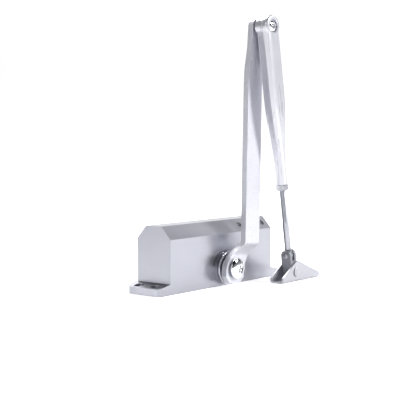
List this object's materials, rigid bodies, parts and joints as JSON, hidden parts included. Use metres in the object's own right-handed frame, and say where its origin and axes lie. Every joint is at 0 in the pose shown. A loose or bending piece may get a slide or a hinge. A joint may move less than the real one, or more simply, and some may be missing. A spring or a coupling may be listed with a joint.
{
  "type": "door closer",
  "caption": "Surface-mounted hydraulic door closer body with a folding regular arm, adjustable rod and swivelling shoe.",
  "frame": {"origin": "on the mounting face, at the centre of the four screw holes in the ears", "axes": "+X along the body towards the end plug, +Z away from the mounting face, -Y towards the arm side of the spindle"},
  "size_m": [0.1932, 0.0937, 0.2496],
  "materials": {
    "housing": "cast aluminium, silver painted, satin",
    "gland_ring_front": "turned ring, silver, satin",
    "gland_ring_rear": "turned ring, silver, satin",
    "end_plug": "turned steel, oiled",
    "end_plug_oring": "matt nitrile",
    "bearing_front": "sintered bronze",
    "bearing_rear": "sintered bronze",
    "spindle_seal_front": "matt nitrile",
    "spindle_seal_rear": "matt nitrile",
    "dust_cap": "moulded, fine grain",
    "closing_valve": "turned steel, slotted",
    "closing_valve_oring": "matt nitrile",
    "latching_valve": "turned steel, slotted",
    "latching_valve_oring": "matt nitrile",
    "piston": "ground steel, oiled",
    "check_ball": "polished bearing ball",
    "check_ball_cage": "turned steel",
    "main_spring": "shot-peened spring steel, oiled",
    "pinion_shaft": "hobbed and ground steel",
    "main_arm": "silver paint on pressed steel, slight orange peel",
    "arm_washer": "bright zinc plate",
    "arm_screw": "bright nickel-chrome plate",
    "elbow_screw": "bright nickel-chrome plate",
    "elbow_bush": "sintered bronze",
    "elbow_washer": "bright zinc plate",
    "forearm": "cast aluminium, silver painted, semi-gloss",
    "lock_nut": "bright zinc plate",
    "rod": "bright zinc plate, rolled thread",
    "link": "silver paint on cast steel, rough",
    "link_pin": "bright zinc plate",
    "shoe": "silver paint on pressed steel",
    "shoe_pin": "silver paint on a steel rivet"
  },
  "bodies": {
    "housing_body": {"housing": "housing", "gland_ring_front": "gland_ring_front", "gland_ring_rear": "gland_ring_rear", "end_plug": "end_plug", "end_plug_oring": "end_plug_oring", "bearing_front": "bearing_front", "bearing_rear": "bearing_rear", "spindle_seal_front": "spindle_seal_front", "spindle_seal_rear": "spindle_seal_rear", "dust_cap": "dust_cap", "main_spring": "main_spring"},
    "spindle_body": {"pinion_shaft": "pinion_shaft", "main_arm": "main_arm", "arm_washer": "arm_washer", "arm_screw": "arm_screw", "elbow_screw": "elbow_screw", "elbow_bush": "elbow_bush", "elbow_washer": "elbow_washer"},
    "piston_body": {"piston": "piston", "check_ball": "check_ball", "check_ball_cage": "check_ball_cage"},
    "closing_valve_body": {"closing_valve": "closing_valve", "closing_valve_oring": "closing_valve_oring"},
    "latching_valve_body": {"latching_valve": "latching_valve", "latching_valve_oring": "latching_valve_oring"},
    "forearm_body": {"forearm": "forearm"},
    "lock_nut_body": {"lock_nut": "lock_nut"},
    "rod_body": {"rod": "rod"},
    "link_body": {"link": "link", "link_pin": "link_pin"},
    "shoe_body": {"shoe": "shoe", "shoe_pin": "shoe_pin"}
  },
  "joints": [
    {"name": "spindle_turn", "type": "hinge", "parent": "housing_body", "child": "spindle_body", "pos_m": [0.001, 0, 0.0173], "axis": [0, -1, 0], "range_deg": [0, 170], "stiffness_Nm_per_rad": 1.6, "springref_deg": -28.65},
    {"name": "piston_slide", "type": "slide", "parent": "housing_body", "child": "piston_body", "axis": [-1, 0, 0], "range_m": [0, 0.02226], "deforming": ["main_spring"]},
    {"name": "closing_valve_turn", "type": "hinge", "parent": "housing_body", "child": "closing_valve_body", "pos_m": [0.031, -0.0144, 0.0543], "axis": [0, -0.7452, 0.6668], "range_deg": [-360, 360]},
    {"name": "latching_valve_turn", "type": "hinge", "parent": "housing_body", "child": "latching_valve_body", "pos_m": [0.0665, -0.0144, 0.0543], "axis": [0, -0.7452, 0.6668], "range_deg": [-360, 360]},
    {"name": "elbow_turn", "type": "hinge", "parent": "spindle_body", "child": "forearm_body", "pos_m": [0.02198, -0.0523, 0.23921], "axis": [0, -1, 0], "range_deg": [0, 160]},
    {"name": "lock_nut_turn", "type": "hinge", "parent": "forearm_body", "child": "lock_nut_body", "pos_m": [0.04758, -0.0523, 0.09101], "axis": [0.1702, 0, -0.9854], "range_deg": [-360, 360]},
    {"name": "rod_adjust", "type": "slide", "parent": "forearm_body", "child": "rod_body", "axis": [0.1702, 0, -0.9854], "range_m": [-0.01, 0.015]},
    {"name": "link_swing", "type": "hinge", "parent": "rod_body", "child": "link_body", "pos_m": [0.05892, -0.0523, 0.02536], "axis": [0.9854, 0, 0.1702], "range_deg": [-30, 30]},
    {"name": "shoe_tilt", "type": "hinge", "parent": "link_body", "child": "shoe_body", "pos_m": [0.06167, -0.0523, 0.0094], "axis": [0, -1, 0], "range_deg": [-75, 75]}
  ],
  "couplings": [
    {"joint": "piston_slide", "follows": "spindle_turn", "m_per_rad": 0.0075}
  ]
}
